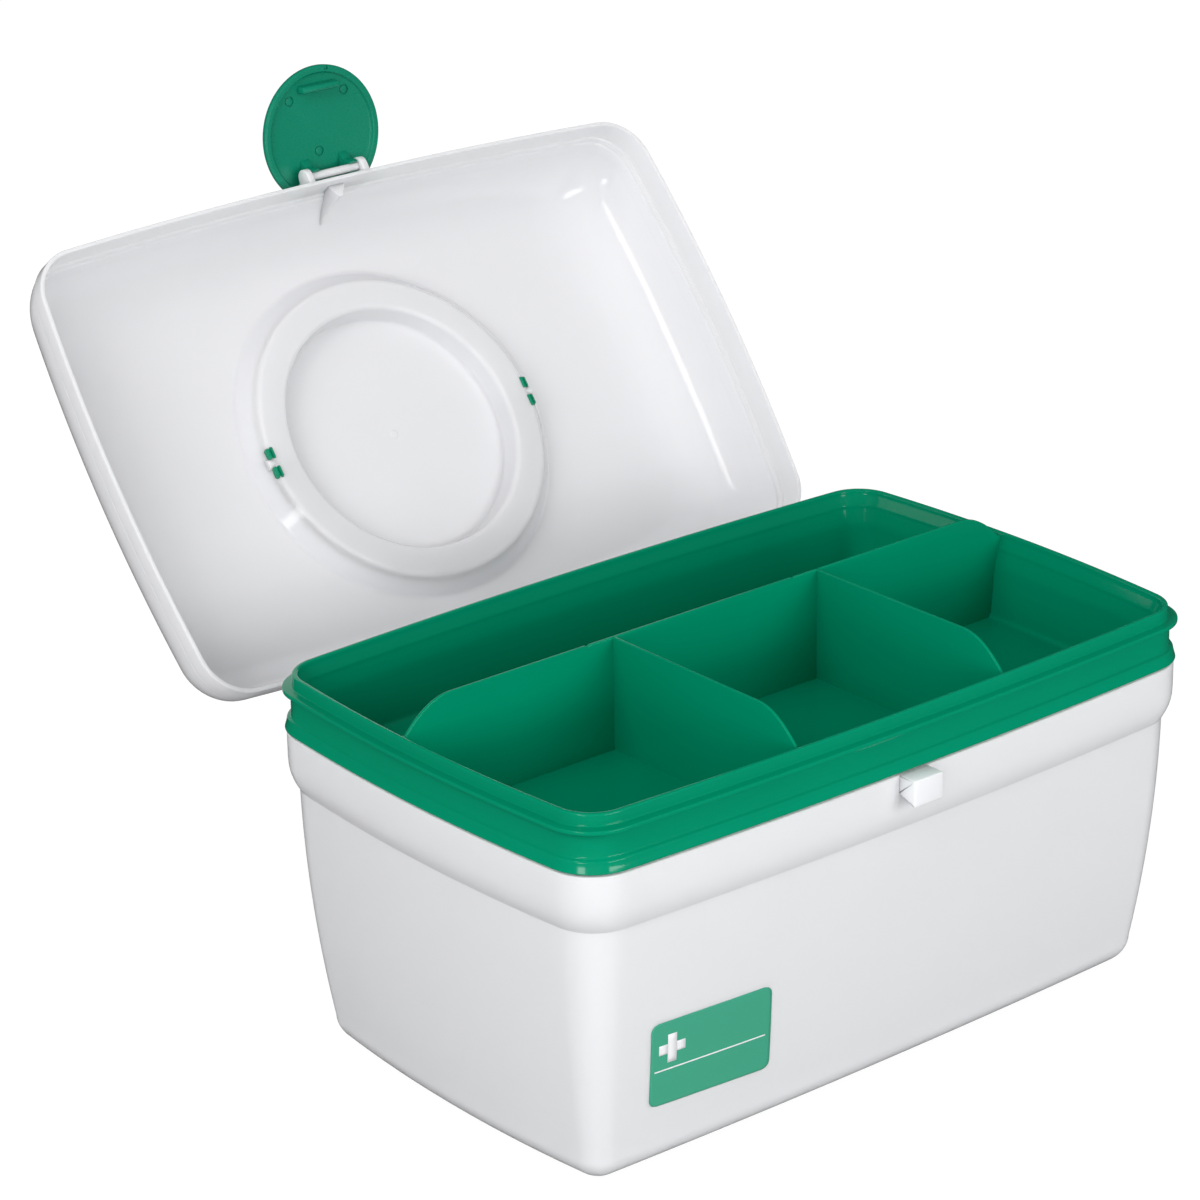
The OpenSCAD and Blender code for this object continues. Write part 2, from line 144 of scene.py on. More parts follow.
# Hinge: lugs, bar and stop of the tub, and arms of the lid, with X from HINGE_X
LUG_R = 4.4
LUG_X = (-8, 5)
LUG_T = 3
LUG_H = 13
STOP_STEP = 9.7
STOP_HALF = 5.6
HINGE_BAR_HALF = 6.6
ARM_R = BAR_R + PLAY + 2.2
ARM_HALF = 4.6

# Latch's ears and bar on the lid, and the keeper over the tray's lip
EAR_X = (10.7, 13.3)
EAR_R = 3.2
LATCH_BAR_HALF = 11.4
KEEPER_Y = -80.7
KEEPER_HALF = (2.8, 0.3)
KEEPER_TURN = 42

# Handle, closed: radii of its half ring, and places of its bars along X
GRIP_R = (48.3, 57.8)
GRIP_T = 6.8
GRIP_SINK = 0.65
HANDLE_BAR_X = (54.7, 59.4)
HOOK_R = 6.2
HOOK_BASE_Z = PIVOT_Z - BAR_R - 0.9

# Latch, closed: its face and middle are this far in front of and below its axis
LATCH_FACE = 4.0
LATCH_DROP = 13.1
LATCH_R = 25.1
RIB_HALF = 8
CLIP_R = LATCH_BAR_R + PLAY + 1.2
CLIP_X = 8.4
CLIP_HALF = 1.7
CLIP_MOUTH = 0.96
EJECTOR_MARKS = ((-12.2, -14.1), (11.9, -14.3), (-1.5, 5.7))
MARK_R = 1.9
PAD_R = 1.4

# Sticker: X and Z of its corners on the tub's front wall, lower ones first, and flat size
STICKER = np.array([(-102.6, 24.1), (-52.7, 21.8), (-104.2, 55.3), (-55.0, 53.8)])
STICKER_SIZE = (49.5, 31.5)
STICKER_CORNER = 3.0
PAPER_LIFT = 0.12
PRINT_LIFT = 0.15

# Camera's place in metres and its angles, the floor, and the brightness that rays meet
CAMERA_AT = (-0.8669, -0.9888, 0.6744)
AZIMUTH = math.radians(-39.281)
ELEVATION = math.radians(21.809)
ROLL = math.radians(-1.118)
LENS = 128.36
FLOOR_HALF = 8
FLOOR_Z = -0.0004
FLOOR_SHARE = 0.85
FLOOR_GLOW = 1.12
FLOOR_TONE = 0.55
FLOOR_TONE_IN_GLOSS = 0.02
BACKDROP = 1.03
ROOM = 0.33
ROOM_IN_GLOSS = 0.03


def mix(a, b, t):
    """The value a share t of the way from a to b."""
    return a + (b - a) * t


def turned(points, axis, degrees):
    """Points turned about a line along X through axis = (y, z)."""
    a = math.radians(degrees)
    p = np.array(points, float)
    y = p[..., 1] - axis[0]
    z = p[..., 2] - axis[1]
    p[..., 1] = axis[0] + math.cos(a) * y - math.sin(a) * z
    p[..., 2] = axis[1] + math.sin(a) * y + math.cos(a) * z
    return p


def with_lid(points):
    """Closed lid points turned to the open pose."""
    return turned(points, HINGE, -LID_OPEN)


def with_latch(points):
    """Closed latch points turned on the lid's bar and then with the lid."""
    return with_lid(turned(points, LATCH_AXIS, -LATCH_OPEN))


def mesh_object(name, points, faces, place=None):
    """A mesh object from points in millimetres and faces of any size."""
    points = np.asarray(points, float).reshape(-1, 3)
    if place:
        points = place(points)
    mesh = bpy.data.meshes.new(name)
    mesh.from_pydata((points * MM).tolist(), [], faces)
    mesh.update()
    obj = bpy.data.objects.new(name, mesh)
    bpy.context.scene.collection.objects.link(obj)
    return obj


def skin(name, rings, place=None):
    """A closed skin over rings, an array of m rings of n points: quads between
    neighbouring rings, and one face over the first ring and the last."""
    m, n = rings.shape[:2]
    j, i = np.meshgrid(np.arange(m - 1), np.arange(n), indexing="ij")
    a = j * n + i
    k = j * n + (i + 1) % n
    faces = np.stack([a, k, k + n, a + n], -1).reshape(-1, 4).tolist()
    faces.append(list(range(n - 1, -1, -1)))
    faces.append(list(range((m - 1) * n, m * n)))
    return mesh_object(name, rings, faces, place)


def rounded(points, radius, steps=4):
    """A path whose inner corners P become quadratic curves (1-t)^2 A + 2t(1-t) P + t^2 C,
    which start and end `radius` from P or at 45% of the shorter leg."""
    p = np.asarray(points, float)
    back = p[:-2] - p[1:-1]
    ahead = p[2:] - p[1:-1]
    back_leg = np.linalg.norm(back, axis=1, keepdims=True)
    ahead_leg = np.linalg.norm(ahead, axis=1, keepdims=True)
    wanted = np.broadcast_to(np.reshape(radius, (-1, 1)), back_leg.shape)
    cut = np.minimum(wanted, 0.45 * np.minimum(back_leg, ahead_leg))
    a = (p[1:-1] + back / back_leg * cut)[:, None]
    c = (p[1:-1] + ahead / ahead_leg * cut)[:, None]
    t = np.linspace(0, 1, steps + 1)[None, :, None]
    curve = (1 - t) ** 2 * a + 2 * t * (1 - t) * p[1:-1, None] + t**2 * c
    return np.concatenate([p[:1], curve.reshape(-1, p.shape[1]), p[-1:]])


def loop_rounded(points, radius, steps=4):
    """rounded() for a closed path."""
    p = np.asarray(points, float)
    return rounded(np.concatenate([p[-1:], p, p[:1]]), radius, steps)[1:-1]


def arc(y, z, r, start, end, steps):
    """Points (y + r cos a, z + r sin a) for angles in degrees from start to end."""
    a = np.radians(np.linspace(start, end, steps))
    return np.column_stack([y + r * np.cos(a), z + r * np.sin(a)])


def bore(y, z, bar, facing, mouth=MOUTH):
    """Inside of a clip on a round bar, from one lip of its mouth to the other. The mouth
    points `facing` degrees from +Y and is `mouth` bar radii wide to each side."""
    half = math.degrees(math.asin(mouth * bar / (bar + PLAY)))
    return arc(y, z, bar + PLAY, facing + 360 - half, facing + half, 30)


def prism(name, path, x0, x1, edge=0.35, place=None):
    """A plate along X from x0 to x1 whose closed outline in Y and Z is path. Its rims are
    rounded: e (1 - sin k) from each end, the outline lies e (1 - cos k) inwards."""
    p = np.asarray(path, float)
    area = np.sum(p[:, 0] * np.roll(p[:, 1], -1) - np.roll(p[:, 0], -1) * p[:, 1])
    if area < 0:
        p = p[::-1]
    along = np.roll(p, -1, 0) - np.roll(p, 1, 0)
    along /= np.maximum(np.linalg.norm(along, axis=1, keepdims=True), TINY)
    inward = np.stack([-along[:, 1], along[:, 0]], 1)
    k = np.radians([90, 60, 30, 0])
    depth = edge * (1 - np.cos(k))
    shift = edge * (1 - np.sin(k))
    rings = [np.column_stack([np.full(len(p), x0 + s), p + inward * d]) for d, s in zip(depth, shift)]
    rings += [np.column_stack([np.full(len(p), x1 - s), p + inward * d])
              for d, s in zip(depth[::-1], shift[::-1])]
    return skin(name, np.array(rings), place)


def rod(name, x0, x1, y, z, r, edge=0.3, place=None):
    """A round bar along X with rounded ends."""
    return prism(name, arc(y, z, r, 0, 351, 40), x0, x1, edge, place)


def arc_radius(half, rise):
    """Radius of an arc from its half chord h and its rise s: (h^2 + s^2) / 2s."""
    return (half**2 + rise**2) / (2 * rise)


def outline(a, b, sa, sb, r):
    """Bowed rounded rectangles with half lengths a and b, bowed by sa at the short sides
    and sb at the long ones, one for each entry of the arrays. Each side is an arc, and
    each corner an arc of radius r whose centre is r inside both sides' arcs."""
    a, b, sa, sb, r = [np.asarray(v, float)[:, None] for v in np.broadcast_arrays(a, b, sa, sb, r)]
    short_points, corner_points, long_points = OUTLINE_POINTS
    long_r = arc_radius(a - sa, sb)
    short_r = arc_radius(b - sb, sa)
    long_y = b - long_r
    short_x = a - short_r
    d = np.hypot(short_x, long_y)
    ux = short_x / d
    uy = -long_y / d
    along = ((long_r - r) ** 2 - (short_r - r) ** 2 + d**2) / (2 * d)
    across = np.sqrt((long_r - r) ** 2 - along**2)
    side = np.where(ux - uy > 0, 1, -1)
    cx = ux * along - side * uy * across
    cy = long_y + uy * along + side * ux * across
    corner_start = np.arctan2(cy, cx - short_x)
    corner_end = np.arctan2(cy - long_y, cx)
    flank = corner_start * np.linspace(0, 1, short_points, endpoint=False)[None]
    share = np.linspace(0, 1, corner_points, endpoint=False)[None]
    turn = corner_start + (corner_end - corner_start) * share
    top = corner_end + (np.pi / 2 - corner_end) * np.linspace(0, 1, long_points + 1)[None]
    x = np.concatenate([short_x + short_r * np.cos(flank), cx + r * np.cos(turn), long_r * np.cos(top)], 1)
    y = np.concatenate([short_r * np.sin(flank), cy + r * np.sin(turn), long_y + long_r * np.sin(top)], 1)
    quarter = np.dstack([x, y])
    half = np.concatenate([quarter, (quarter * [-1, 1])[:, -2::-1]], 1)
    return np.concatenate([half, (half * [1, -1])[:, -2:0:-1]], 1)


def loft(z, ox, oy, r, sa, sb):
    """Rings at heights z whose outlines are the reference outline moved out by ox and oy."""
    z = np.asarray(z, float)
    ring = outline(HALF_X + ox, HALF_Y + oy, sa, sb, r)
    return np.dstack([ring, np.broadcast_to(z[:, None], ring.shape[:2])])


def even(path):
    """Rings from a path of (offset, z), at one offset all round."""
    p = np.asarray(path, float)
    return loft(p[:, 1], p[:, 0], p[:, 0], CORNER + p[:, 0], BOW_SHORT, BOW_LONG)


def dip(x):
    """Fall of a long side's bow at x: its rise times (x / half chord)^2."""
    return BOW_LONG * (x / (HALF_X - BOW_SHORT)) ** 2


def side_fall(y):
    """Fall of a short side's bow at y: its rise times (y / half chord)^2."""
    return BOW_SHORT * (y / (HALF_Y - BOW_LONG)) ** 2


def tub_offsets(z):
    """Share t of the height to the shoulder, share of the shoulder's step 1 - (1 - u)^2.2,
    and offset of the wall, which swells by 4 t (1 - t) between foot and shoulder."""
    t = np.clip((z - FOOT_R) / (SHOULDER_Z - FOOT_R), 0, 1)
    step = 1 - (1 - np.clip((z - SHOULDER_Z) / SHOULDER_H, 0, 1)) ** 2.2
    return t, step, (NECK_IN + TUB_OUT) * step + 4 * SWELL * t * (1 - t)


def tub_wall(z, inset):
    """Rings of the tub's wall at heights z, moved in by inset."""
    z = np.asarray(z, float)
    t, step, out = tub_offsets(z)
    out = out - inset
    corner = mix(FOOT_CORNER, SHOULDER_CORNER, t) + STEP_CORNER * step - INSET_CORNER * inset
    return loft(z, mix(-INSET[0], -NECK_IN, t) + out, mix(-INSET[1], -NECK_IN, t) + out, corner,
                mix(FOOT_BOW[0], BOW_SHORT, t), mix(FOOT_BOW[1], BOW_LONG, t))


def foot(radius, inset, degrees):
    """Quarter round under the wall: z = FOOT_R - r sin k, and d = r (1 - cos k) inwards."""
    k = np.radians(degrees)
    d = radius * (1 - np.cos(k))
    corner = np.maximum(LEAST_CORNER, FOOT_CORNER - INSET_CORNER * (inset + d))
    return loft(FOOT_R - radius * np.sin(k), -INSET[0] - inset - d, -INSET[1] - inset - d, corner, *FOOT_BOW)


def build_tub():
    """Tapered wall with a rounded foot, a convex shoulder, a ledge and a thin rim: a
    profile of heights and offsets carried round the bowed outline."""
    over_crease = np.array([0.25, 0.6, 1.1, 1.8, 2.7, 3.8, 5, 6.5, 8.5, 11])
    up = np.concatenate([np.linspace(FOOT_R, SHOULDER_Z - 0.3, 22)[1:], [SHOULDER_Z],
                         SHOULDER_Z + over_crease])
    over_shoulder = SHOULDER_Z + SHOULDER_H + 1
    rim_out, rim_in = RIM_OFFSET
    top = rounded([(TUB_OUT, over_shoulder), (TUB_OUT, LEDGE_Z), (rim_out, LEDGE_Z), (rim_out, RIM_Z),
                   (rim_in, RIM_Z), (rim_in, LEDGE_Z - WALL), (0, LEDGE_Z - WALL), (0, over_shoulder)],
                  [0.5, 0.5, 0.35, 0.35, 0.5, 0.6], 4)
    inner_r = FOOT_R - FLOOR_T
    rings = [foot(FOOT_R, 0, [90]), foot(FOOT_R, 0, np.linspace(89, 0, 13)), tub_wall(up, 0),
             even(top), tub_wall(up[::-1] - 0.5, WALL), foot(inner_r, WALL, np.linspace(0, 89, 9)),
             foot(inner_r, WALL, [90])]
    return skin("tub_shell", np.concatenate(rings))


def build_catch():
    """Block under the latch, a little undercut where the latch's rib snaps in."""
    nose, root, top = CATCH_Z
    wall_y = -HALF_Y - TUB_OUT
    inner_y = wall_y + 0.8
    front_y = wall_y - CATCH_REACH
    path = loop_rounded([(inner_y, top), (front_y, top), (front_y, nose), (wall_y, root), (inner_y, root)],
                        [0.05, 0.5, 0.4, 0.3, 0.05])
    return prism("latch_catch", path, -CATCH_HALF, CATCH_HALF, edge=0.4)


def build_hinge_lugs(side):
    """Two lugs, their bar and the stop between them, on one side of the back wall."""
    root = HALF_Y + TUB_OUT - WALL / 2 - dip(HINGE_X)
    y, z = HINGE
    middle = side * HINGE_X
    top = LEDGE_Z - GAP
    low = LEDGE_Z - LUG_H
    path = np.concatenate([[(root, top), (y - 4.8, top)], arc(y, z, LUG_R, 180, 0, 17),
                           [(y + 3.9, z - 6), (y - 4.5, low), (root, low)]])
    out = []
    for i, x in enumerate(LUG_X):
        name = "hinge_lug_%s_%d" % (NAME[side], i)
        out.append(prism(name, path, middle + x, middle + x + LUG_T, edge=0.4))
    out.append(rod("hinge_bar_%s" % NAME[side], middle - HINGE_BAR_HALF, middle + HINGE_BAR_HALF,
                   y, z, BAR_R))
    a = math.radians(-LID_OPEN)
    reach = ARM_R + GAP

    def on_face(level):
        """Y at a height on the stop's face, the plane `reach` behind the open arm's axis."""
        s = (level - z - math.sin(a) * reach) / math.cos(a)
        return y + math.cos(a) * reach - math.sin(a) * s

    step = LEDGE_Z - STOP_STEP
    path = [(root, top), (on_face(top), top), (on_face(step), step), (y - 3, low), (root, low)]
    out.append(prism("hinge_stop_%s" % NAME[side], loop_rounded(path, 0.3),
                     middle - STOP_HALF, middle + STOP_HALF, edge=0.2))
    return out


def build_tray():
    """Basin with a rounded heel, a knee, rolled lip, flange, groove and band: a profile of
    corners, each with its rounding, carried round the bowed outline."""
    under_rim = RIM_Z + GAP
    on_ledge = LEDGE_Z + GAP
    corners = [
        ((-9.6, TRAY_Z), 1.6), ((-6.4, TRAY_Z + 1), 1.0), ((WALL - 5.9, KNEE_Z), 0.5),
        ((-2.9, under_rim), 0.2), ((-1.2, under_rim), 0.2), ((-1.2, on_ledge), 0.3),
        ((1.6, on_ledge + 0.45), 0.3), ((2.15, LEDGE_Z + 1.1), 0.7), ((1.5, LEDGE_Z + 3.4), 1.2),
        ((1.25, LEDGE_Z + 5.0), 0.5), ((0.2, LEDGE_Z + 5.6), 0.8), ((0, LEDGE_Z + 7.5), 0.8),
        ((0, FLANGE_Z - 3), 0.8), ((0.5, FLANGE_Z - 2), 0.5), ((2.4, FLANGE_Z - 1.5), 0.3),
        ((2.4, FLANGE_Z - 0.15), 0.45), ((-0.6, FLANGE_Z + 0.05), 0.5), ((-0.7, LIP_Z), 0.95),
        ((-LIP_IN, LIP_Z), 0.95), ((-2.7, LIP_Z - 1.7), 0.7), ((-4.1, RIM_Z + 0.9), 0.7),
        ((-4.2, RIM_Z - 0.1), 0.5), ((-5.6, KNEE_Z), 1.5), ((-7.3, TRAY_TOP), 3.2)]
    path = [(-10.4, TRAY_Z)] + [point for point, r in corners] + [(-11.6, TRAY_TOP)]
    return skin("tray_basin", even(rounded(path, [r for point, r in corners], 5)))


def divider_end(edge):
    """Profile of a divider's end towards a wall whose outline lies `edge` from the middle:
    the top falls along u^2, a short foot meets the lip, and the root runs inside the wall."""
    u = np.linspace(0, 1, 22)
    fall = np.column_stack([edge - LIP_IN - END_FOOT - END_W * (1 - u), mix(DIVIDER_Z, END_Z, u * u)])
    root = [(edge - 1.6, END_Z), (edge - 4.8, KNEE_Z), (edge - 6.7, TRAY_TOP + 3.2),
            (edge - 9.2, DIVIDER_FOOT)]
    return np.concatenate([fall, root])


def build_dividers():
    """Long divider along X, with two small nicks in its top edge, and two cross dividers."""
    half_t = DIVIDER_T / 2
    nick = np.array([(-0.8, 0), (-0.3, -NICK_DEPTH), (0.3, -NICK_DEPTH), (0.8, 0)]) + [0, DIVIDER_Z]
    end = divider_end(HALF_X - side_fall(DIVIDER_Y))
    loop = np.concatenate([end, (end * [-1, 1])[::-1], nick - [DIVIDER_X + NICK_SHIFT, 0],
                           nick + [DIVIDER_X - NICK_SHIFT, 0]])
    long = prism("tray_divider_long", loop, DIVIDER_Y - half_t, DIVIDER_Y + half_t,
                 place=lambda p: p[:, [1, 0, 2]])
    long.data.flip_normals()
    end = divider_end(HALF_Y - dip(DIVIDER_X)) * [-1, 1]
    loop = np.concatenate([[(DIVIDER_Y, DIVIDER_FOOT), (DIVIDER_Y, DIVIDER_Z)], end])
    cross = [prism("tray_divider_%s" % NAME[s], loop, s * DIVIDER_X - half_t, s * DIVIDER_X + half_t)
             for s in (-1, 1)]
    return [long] + cross


def dome(z, out, radius, extra=0):
    """Rings of the lid's side at heights z. Over LID_CZ the wall bends in along an arc, so
    the offset is out - r (1 - cos k) + extra with sin k = (z - LID_CZ) / r, and the
    corners and bows go over to those of the top face."""
    z = np.asarray(z, float)
    t = 1 - np.sqrt(1 - np.clip((z - LID_CZ) / radius, 0, 1) ** 2)
    offset = out - radius * t + extra
    return loft(z, offset, offset, mix(CORNER + out + extra, TOP_CORNER, t),
                mix(BOW_SHORT, TOP_BOW[0], t), mix(BOW_LONG, TOP_BOW[1], t))


def dome_height(x, y, out, radius):
    """Height of the domed shell over x, y: along the ray from the middle through a point,
    the point's own distance is placed among those of the level rings."""
    k = np.radians(np.linspace(20, 90, 71))
    rings = dome(LID_CZ + radius * np.sin(k), out, radius)
    angle = np.arctan2(y, x).ravel()
    reach = np.hypot(x, y).ravel()
    spans = np.array([np.interp(angle, np.arctan2(ring[:, 1], ring[:, 0]), np.hypot(ring[:, 0], ring[:, 1]),
                                period=2 * np.pi) for ring in rings])
    last = (spans > reach).sum(0).clip(1, len(k) - 1)
    column = np.arange(len(reach))
    wide = spans[last - 1, column]
    narrow = spans[last, column]
    share = np.clip((wide - reach) / np.maximum(wide - narrow, TINY), 0, 1)
    bend = np.where(reach <= spans[-1], np.pi / 2, mix(k[last - 1], k[last], share))
    return (LID_CZ + radius * np.sin(bend)).reshape(np.shape(x))


def top_face(edge, out, radius, profile):
    """Rings from circles about the handle's middle out to the dome's ring `edge`. profile
    holds (r, z). Points within NEAR_TOP of the top follow the dome's height."""
    top = LID_CZ + radius
    r = profile[:, 0][:, None]
    z = profile[:, 1][:, None]
    angle = np.arctan2(edge[:, 1] - RING_Y, edge[:, 0])
    x = r * np.cos(angle)
    y = RING_Y + r * np.sin(angle)
    height = np.where(z < top - NEAR_TOP, z, dome_height(x, y, out, radius) + z - top)
    circles = np.dstack([x, y, height])
    shares = np.array([0.08, 0.2, 0.35, 0.5, 0.65, 0.8, 0.9])[:, None, None]
    flat = mix(circles[-1][None, :, :2], edge[None, :, :2], shares)
    height = dome_height(flat[..., 0], flat[..., 1], out, radius)
    return np.concatenate([circles, np.dstack([flat, height])])


def window_cutters(side):
    """Upright plates with rounded corners that cut two windows through the groove's floor
    and outer wall, and a shorter slot between them round the bar."""
    x0, x1 = WINDOW_X
    out = []
    for y0, y1, end, corner in ((BAR_R, WINDOW_Y, x1, WINDOW_CORNER), (-WINDOW_Y, -BAR_R, x1, WINDOW_CORNER),
                                (-SLOT_Y, SLOT_Y, SLOT_X, SHARP)):
        loop = loop_rounded([(x0, y0), (end, y0), (end, y1), (x0, y1)], [SHARP, corner, corner, SHARP])
        loop = (loop + [0, RING_Y]) * [side, 1]
        rings = np.array([np.column_stack([loop, np.full(len(loop), z)]) for z in WINDOW_Z])
        out.append(skin("window", rings[::side]))
    return out


def build_lid():
    """One closed skin from the middle of the inner face, over the ring's bulge, the domed
    side with its two small inner steps and the rim, and back over the outside and the
    handle's groove to the middle."""
    inner_r = SHOULDER_R - WALL
    bend = np.radians(np.arange(60, 20, -3))
    inner_z = LID_CZ + inner_r * np.sin(bend)
    outer_z = LID_CZ + SHOULDER_R * np.sin(np.radians(np.arange(5, 63, 3)))
    (high, high_end), (low, low_end) = STEP_Z
    steps = rounded([(0, 147), (0, high), (STEP_OUT, high_end), (STEP_OUT, low), (2 * STEP_OUT, low_end),
                     (2 * STEP_OUT, LID_Z), (LID_RIM_IN, LID_Z)], [0.9, 0.15, 0.9, 0.15, 0.35], 6)
    rim = rounded([(LID_RIM_IN, LID_Z), (LID_RIM_OUT, LID_Z + 0.3), (LID_RIM_OUT, LID_Z + 6.2),
                   (1.7, LID_Z + 6.5), (1.7, LID_Z + 7.1), (LID_OUT, LID_Z + 7.5)],
                  [0.25, 0.25, 0.15, 0.15], 4)
    skirt_in = dome(steps[:, 1], LID_IN, inner_r, steps[:, 0])
    skirt_out = dome(rim[:, 1], LID_OUT, SHOULDER_R, rim[:, 0] - LID_OUT)
    inner = dome(inner_z, LID_IN, inner_r)
    outer = dome(outer_z, LID_OUT, SHOULDER_R)
    top_in = LID_CZ + inner_r
    gate = [(0.5, top_in - 0.35), (1.3, top_in - 0.3), (1.7, top_in), (12, top_in), (36, top_in)]
    bulge = rounded([(43.0, top_in), (45.2, top_in), (46.6, CREST_Z), (57.3, CREST_Z), (63.6, top_in),
                     (66.5, top_in)], [1.2, 1.8, 1.2, 2.8], 7)
    r0, r1 = GROOVE_R
    groove = rounded([(r0 - GROOVE_LIP, LID_TOP), (r0, LID_TOP), (r0, GROOVE_Z), (r1, GROOVE_Z),
                      (r1, LID_TOP), (r1 + GROOVE_LIP, LID_TOP)], [0.7, 0.6, 1.5, 0.7], 7)
    plain = [(1, LID_TOP), (20, LID_TOP), (38, LID_TOP)]
    inside = top_face(inner[0], LID_IN, inner_r, np.concatenate([gate, bulge]))
    outside = top_face(outer[-1], LID_OUT, SHOULDER_R, np.concatenate([plain, groove]))
    shell = skin("lid_shell", np.concatenate([inside, inner, skirt_in, skirt_out[1:], outer, outside[::-1]]))
    subtract(shell, window_cutters(-1) + window_cutters(1))
    place_mesh(shell, with_lid)
    return shell


def box(name, low, high):
    """A plain box, used only as a cutter."""
    low = np.array(low, float)
    high = np.array(high, float)
    corner = np.array([[i, j, k] for k in (0, 1) for j in (0, 1) for i in (0, 1)])
    faces = [[0, 2, 3, 1], [4, 5, 7, 6], [0, 1, 5, 4], [2, 6, 7, 3], [0, 4, 6, 2], [1, 3, 7, 5]]
    return mesh_object(name, low + corner * (high - low), faces)


def drum(name, x, z, y0, y1, r):
    """A plain cylinder along Y, used only as a cutter."""
    ring = arc(x, z, r, 0, 350, 36)
    rings = np.array([np.column_stack([ring[:, 0], np.full(len(ring), y), ring[:, 1]]) for y in (y1, y0)])
    return skin(name, rings)


def subtract(target, cutters):
    """Takes the cutters out of target and removes them."""
    for cutter in cutters:
        change = target.modifiers.new("cut", "BOOLEAN")
        change.operation = "DIFFERENCE"
        change.solver = "EXACT"
        change.object = cutter
    depsgraph = bpy.context.evaluated_depsgraph_get()
    mesh = bpy.data.meshes.new_from_object(target.evaluated_get(depsgraph))
    target.modifiers.clear()
    target.data = mesh
    for cutter in cutters:
        bpy.data.objects.remove(cutter)


def place_mesh(obj, place):
    """Moves a mesh's points by a function in millimetres."""
    co = np.zeros(len(obj.data.vertices) * 3)
    obj.data.vertices.foreach_get("co", co)
    obj.data.vertices.foreach_set("co", (place(co.reshape(-1, 3) / MM) * MM).ravel())
    obj.data.update()


def keeper_rings():
    """Rings of the wedge over the tray's lip, with s as the share of its height. Its root
    lies in the domed front wall, its tip goes back to the wall by s^1.5, and it narrows
    upwards."""
    s = np.linspace(0, 1, 9)
    bend = np.radians(180 - KEEPER_TURN * s)
    r = SHOULDER_R - 1
    wall = np.column_stack([SHOULDER_R - HALF_Y - LID_OUT + r * np.cos(bend), LID_CZ + r * np.sin(bend)])
    wall[0, 1] = LIP_Z + 0.8
    tip = mix(KEEPER_Y, wall[-1, 0], s**1.5)
    half = mix(*KEEPER_HALF, s)[:, None]
    return np.dstack([half * [-1.25, -0.3, 0.3, 1.25], np.column_stack([wall[:, 0], tip, tip, wall[:, 0]]),
                      np.repeat(wall[:, 1:], 4, 1)])


def build_lid_fittings():
    """Hinge arms, bars in the windows, latch ears with their bar, and the tray's keeper."""
    y, z = HINGE
    root = HALF_Y + LID_OUT - WALL / 2 - dip(HINGE_X)
    lip = math.degrees(math.asin(MOUTH * BAR_R / ARM_R))
    # the arm runs down behind the axis, and its clip opens forwards
    path = np.concatenate([
        [(root, LID_Z + 12.6), (root, LID_Z + 0.9), (y - 1.6, LID_Z + 0.9), (y - 0.4, LID_Z + 0.3),
         (y + 0.3, LID_Z - 1)],
        arc(y, z, ARM_R, 86, 180 - lip, 12), bore(y, z, BAR_R, 180), arc(y, z, ARM_R, 180 + lip, 360, 20),
        [(y + ARM_R, LID_Z + 3.5), (y + 2.2, LID_Z + 7), (y - 2.4, LID_Z + 10.5)]])
    out = []
    for side in (-1, 1):
        x = side * HINGE_X
        out.append(prism("hinge_arm_%s" % NAME[side], path, x - ARM_HALF, x + ARM_HALF, place=with_lid))
        x0, x1 = sorted((side * HANDLE_BAR_X[0], side * HANDLE_BAR_X[1]))
        out.append(rod("handle_bar_%s" % NAME[side], x0, x1, RING_Y, PIVOT_Z, BAR_R,
                       edge=0.1, place=with_lid))
    y, z = LATCH_AXIS
    wall_y = -HALF_Y - LID_OUT + WALL / 2
    path = np.concatenate([arc(y, z, EAR_R, 90, 270, 15),
                           [(wall_y, z - 2.9), (wall_y, z + 7.5), (wall_y - 1, z + 7)]])
    for side in (-1, 1):
        x0, x1 = sorted((side * EAR_X[0], side * EAR_X[1]))
        out.append(prism("latch_ear_%s" % NAME[side], path, x0, x1, edge=0.4, place=with_lid))
    out.append(rod("latch_bar", -LATCH_BAR_HALF, LATCH_BAR_HALF, y, z, LATCH_BAR_R,
                   edge=0.1, place=with_lid))
    out.append(skin("tray_keeper", keeper_rings(), with_lid))
    return out


def build_grip():
    """Half ring with rounded edges: a section carried from 0 to 180 degrees about the
    groove's middle, x = r cos a and y = RING_Y + r sin a."""
    top = LID_TOP - GRIP_SINK
    low = top - GRIP_T
    r0, r1 = GRIP_R
    section = loop_rounded([(r0, low), (r1, low), (r1, top), (r0, top)], [1.0, 2.6, 1.6, 1.3], 5)
    angle = np.radians(np.linspace(0, 180, 97))
    x = section[None, :, 0] * np.cos(angle)[:, None]
    y = RING_Y + section[None, :, 0] * np.sin(angle)[:, None]
    z = np.broadcast_to(section[None, :, 1], x.shape)
    grip = skin("handle_grip", np.dstack([x, y, z]), with_lid)
    grip.data.flip_normals()
    return grip


